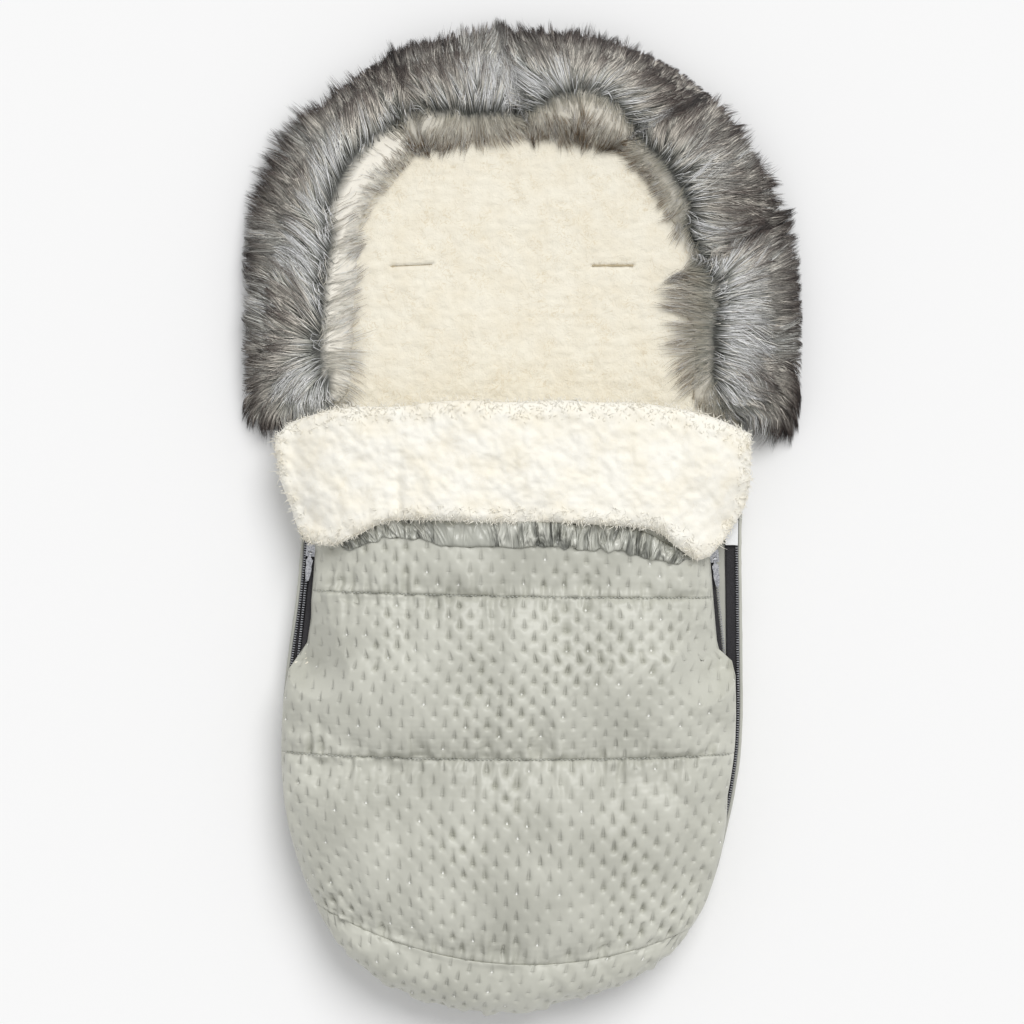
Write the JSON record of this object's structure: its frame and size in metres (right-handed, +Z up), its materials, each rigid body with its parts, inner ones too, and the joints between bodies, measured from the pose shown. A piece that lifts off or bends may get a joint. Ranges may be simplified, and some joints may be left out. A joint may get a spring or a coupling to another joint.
{
  "type": "stroller footmuff",
  "caption": "Padded footmuff lying on its back: fur-trimmed head end, sherpa lining with harness slots, quilted zip-on front cover with a turned-down cuff.",
  "frame": {"origin": "on the floor, under the middle of the whole part's box", "axes": "+Z up from the floor, +Y towards the head end, +X to the right seen from above with the head end away"},
  "size_m": [0.5418, 0.9759, 0.1013],
  "materials": {
    "satin": "silver-grey quilted satin with a dotted emboss",
    "sherpa": "cream sherpa pile",
    "wadding": "white polyester wadding",
    "fur": "long grey faux fur with dark tips",
    "fur_knit": "knitted fur backing",
    "tape": "black woven zip tape",
    "zip_metal": "silver plated",
    "thread": "brown thread",
    "elastic": "white woven elastic",
    "label": "blank white satin tab"
  },
  "bodies": {
    "back": {"back_outer": "satin", "back_wadding": "wadding", "back_lining": "sherpa", "slot_stitching_left": "thread", "slot_stitching_right": "thread", "fur_backing": "fur_knit", "fur_left": "fur", "fur_top_left": "fur", "fur_top_right": "fur", "fur_shoulder_right": "fur", "fur_right": "fur", "zip_left_lower_tape": "tape", "zip_right_lower_tape": "tape", "zip_left_lower_teeth": "zip_metal", "zip_right_lower_teeth": "zip_metal", "zip_left_bottom_stop": "zip_metal", "zip_right_bottom_stop": "zip_metal", "zip_left_lower_top_stop": "zip_metal", "zip_right_lower_top_stop": "zip_metal", "side_label": "label"},
    "cover": {"front_outer": "satin", "front_wadding_upper": "wadding", "front_wadding_middle": "wadding", "front_wadding_lower": "wadding", "front_lining": "sherpa", "toe_gusset_outer": "satin", "toe_gusset_wadding": "wadding", "toe_gusset_lining": "sherpa", "zip_left_upper_tape": "tape", "zip_right_upper_tape": "tape", "zip_left_upper_teeth": "zip_metal", "zip_right_upper_teeth": "zip_metal", "zip_left_upper_top_stop": "zip_metal", "zip_right_upper_top_stop": "zip_metal"},
    "cuff": {"cuff_sherpa": "sherpa", "cuff_wadding": "wadding", "cuff_facing": "satin", "hem_casing": "satin", "hem_elastic": "elastic"},
    "slider_left": {"slider_left": "zip_metal"},
    "slider_right": {"slider_right": "zip_metal"},
    "pull_left": {"pull_left": "zip_metal"},
    "pull_right": {"pull_right": "zip_metal"}
  },
  "joints": [
    {"name": "cover_lift", "type": "hinge", "parent": "back", "child": "cover", "pos_m": [0, -0.488, 0.0306], "axis": [1, 0, 0], "range_deg": [0, 150]},
    {"name": "cuff_fold", "type": "hinge", "parent": "cover", "child": "cuff", "pos_m": [0, 0.119, 0.0735], "axis": [-1, 0, 0], "range_deg": [0, 160]},
    {"name": "slider_left_run", "type": "slide", "parent": "cover", "child": "slider_left", "axis": [-0.1102, -0.9939, 0], "range_m": [0, 0.08]},
    {"name": "slider_right_run", "type": "slide", "parent": "cover", "child": "slider_right", "axis": [0.1027, -0.9947, 0], "range_m": [0, 0.08]},
    {"name": "pull_left_swing", "type": "hinge", "parent": "slider_left", "child": "pull_left", "pos_m": [-0.21085, -0.03111, 0.037], "axis": [-0.9939, 0.1102, 0], "range_deg": [0, 90]},
    {"name": "pull_right_swing", "type": "hinge", "parent": "slider_right", "child": "pull_right", "pos_m": [0.19284, -0.03711, 0.037], "axis": [-0.9947, -0.1027, 0], "range_deg": [0, 90]}
  ]
}
